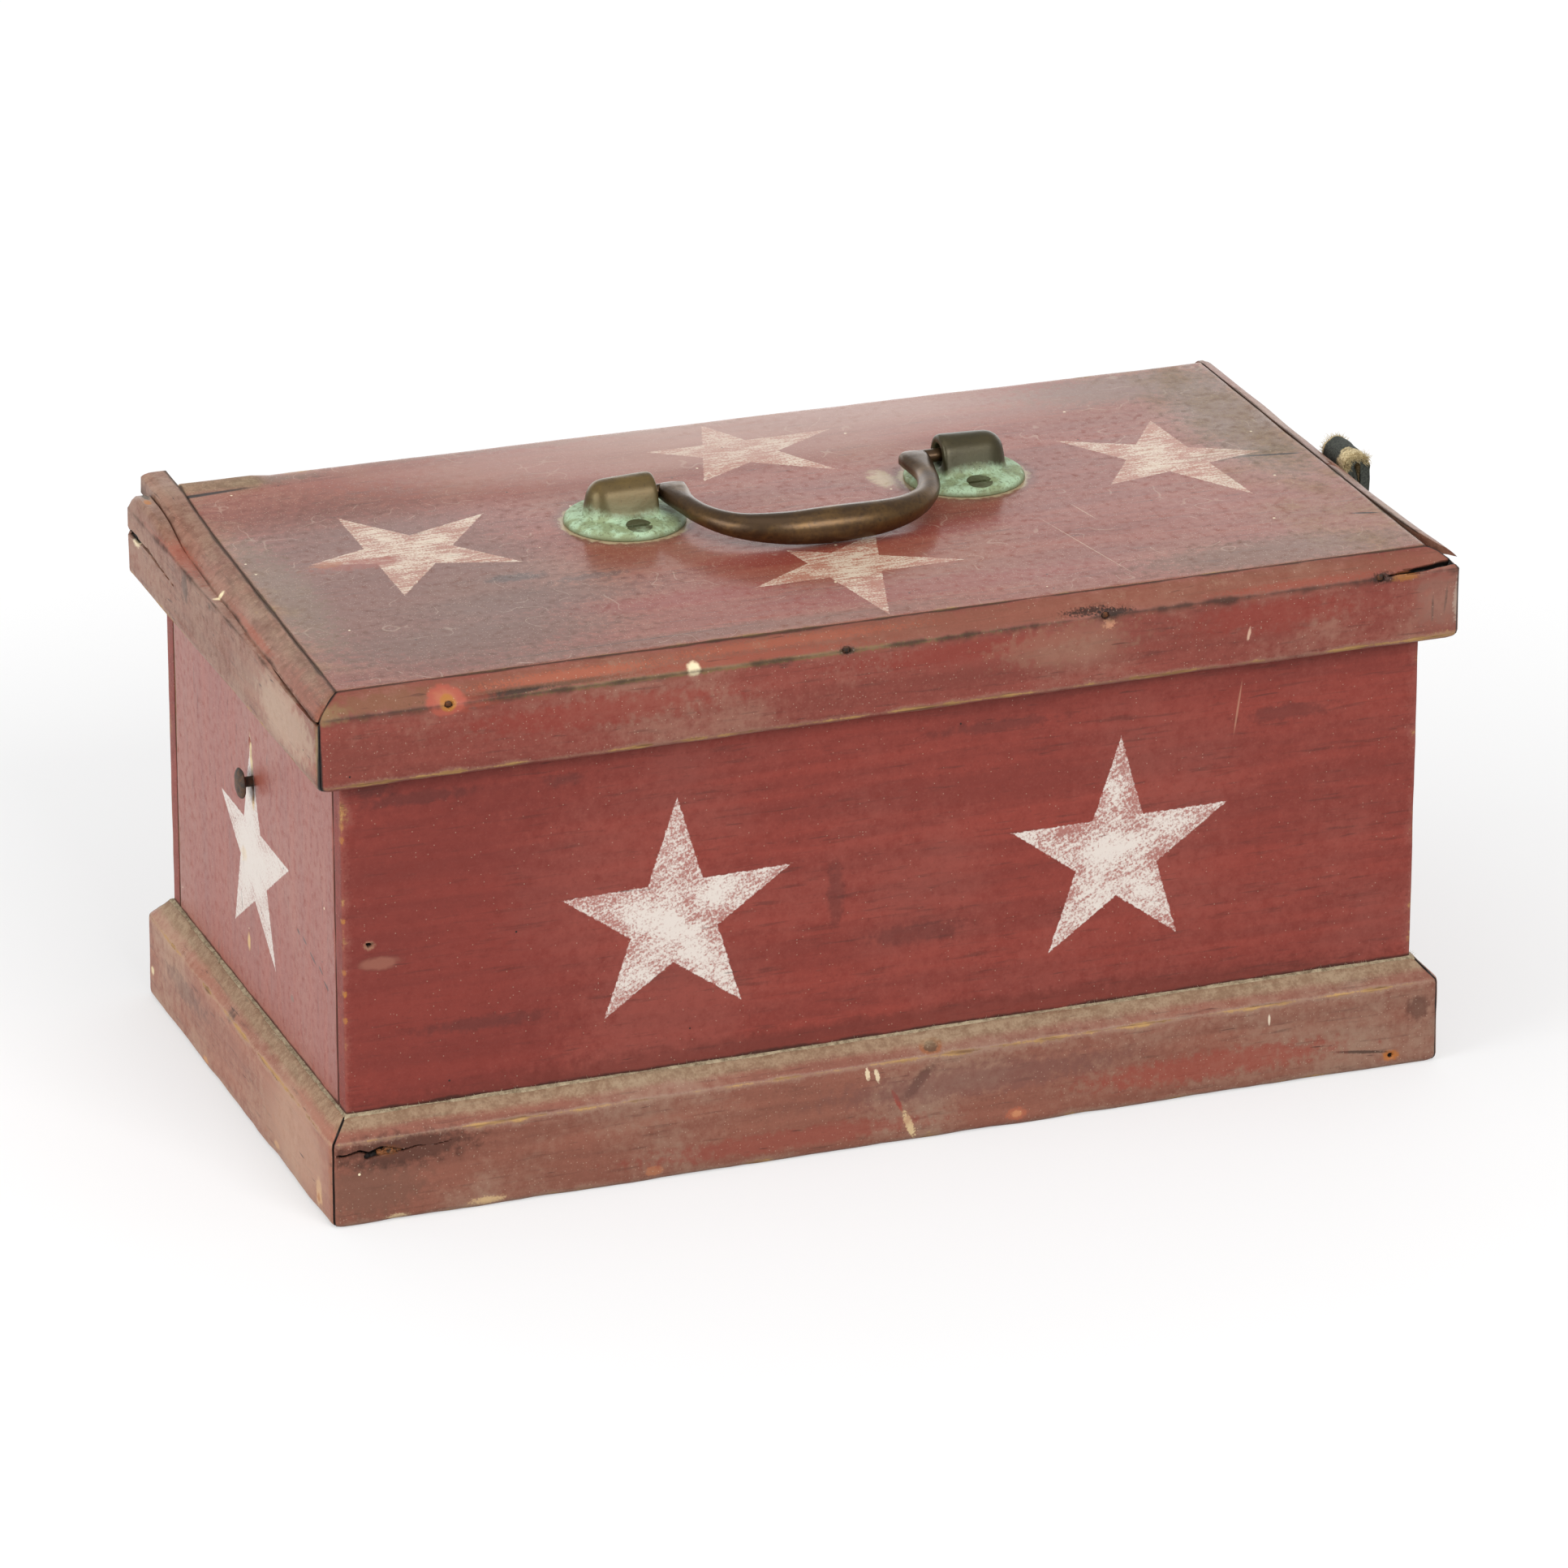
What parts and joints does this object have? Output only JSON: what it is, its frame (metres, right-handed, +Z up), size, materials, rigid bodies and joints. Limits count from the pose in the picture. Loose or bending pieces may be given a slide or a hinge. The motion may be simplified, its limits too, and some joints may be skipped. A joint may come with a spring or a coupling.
{
  "type": "antique sailors box",
  "caption": "Red-painted wooden box on a chamfered plinth, with star decoration, a lipped lid on back hinges and a loose cast bail handle on the lid.",
  "frame": {"origin": "under the middle of the case, on the face that it stands on", "axes": "+X along the box to the right seen from the front, +Y from front to back, +Z up"},
  "size_m": [0.4331, 0.2312, 0.2135],
  "materials": {
    "red_paint": "old barn-red paint, rubbed and dirty, with cream stars",
    "worn_red": "worn red-brown paint under a dull varnish",
    "bare_wood": "aged unpainted pine",
    "bronze": "cast brass with brown patina and green verdigris",
    "rusty_iron": "dark rusty iron",
    "old_leather": "black leather worn through to tan fibres"
  },
  "bodies": {
    "case": {"front_board": "red_paint", "back_board": "red_paint", "left_end_board": "red_paint", "right_end_board": "red_paint", "bottom_board": "bare_wood", "plinth_front": "red_paint", "plinth_back": "red_paint", "plinth_left": "red_paint", "plinth_right": "red_paint", "case_nails": "rusty_iron", "bottom_nails": "rusty_iron", "plinth_nails": "rusty_iron", "end_nail": "rusty_iron", "hinge_case_leaf_left": "rusty_iron", "hinge_case_leaf_right": "rusty_iron", "hinge_case_screws": "rusty_iron", "hinge_pin_left": "rusty_iron", "hinge_pin_right": "rusty_iron"},
    "lid": {"lid_board": "worn_red", "lid_strip_front": "red_paint", "lid_strip_left": "red_paint", "lid_cap_left": "worn_red", "lid_strip_right": "red_paint", "lid_splinter_right": "worn_red", "lid_nails": "rusty_iron", "hinge_lid_leaf_left": "rusty_iron", "hinge_lid_leaf_right": "rusty_iron", "hinge_lid_screws": "rusty_iron", "handle_base_left": "bronze", "handle_base_right": "bronze", "handle_screws": "bronze", "strap_stub": "old_leather", "strap_tacks": "rusty_iron"},
    "bail": {"handle_bail": "bronze"}
  },
  "joints": [
    {"name": "lid_hinge", "type": "hinge", "parent": "case", "child": "lid", "pos_m": [0, 0.1048, 0.18515], "axis": [-1, 0, 0], "range_deg": [0, 105]},
    {"name": "bail_hinge", "type": "hinge", "parent": "lid", "child": "bail", "pos_m": [0.0085, 0.018, 0.2059], "axis": [-1, 0, 0], "range_deg": [0, 186]}
  ]
}
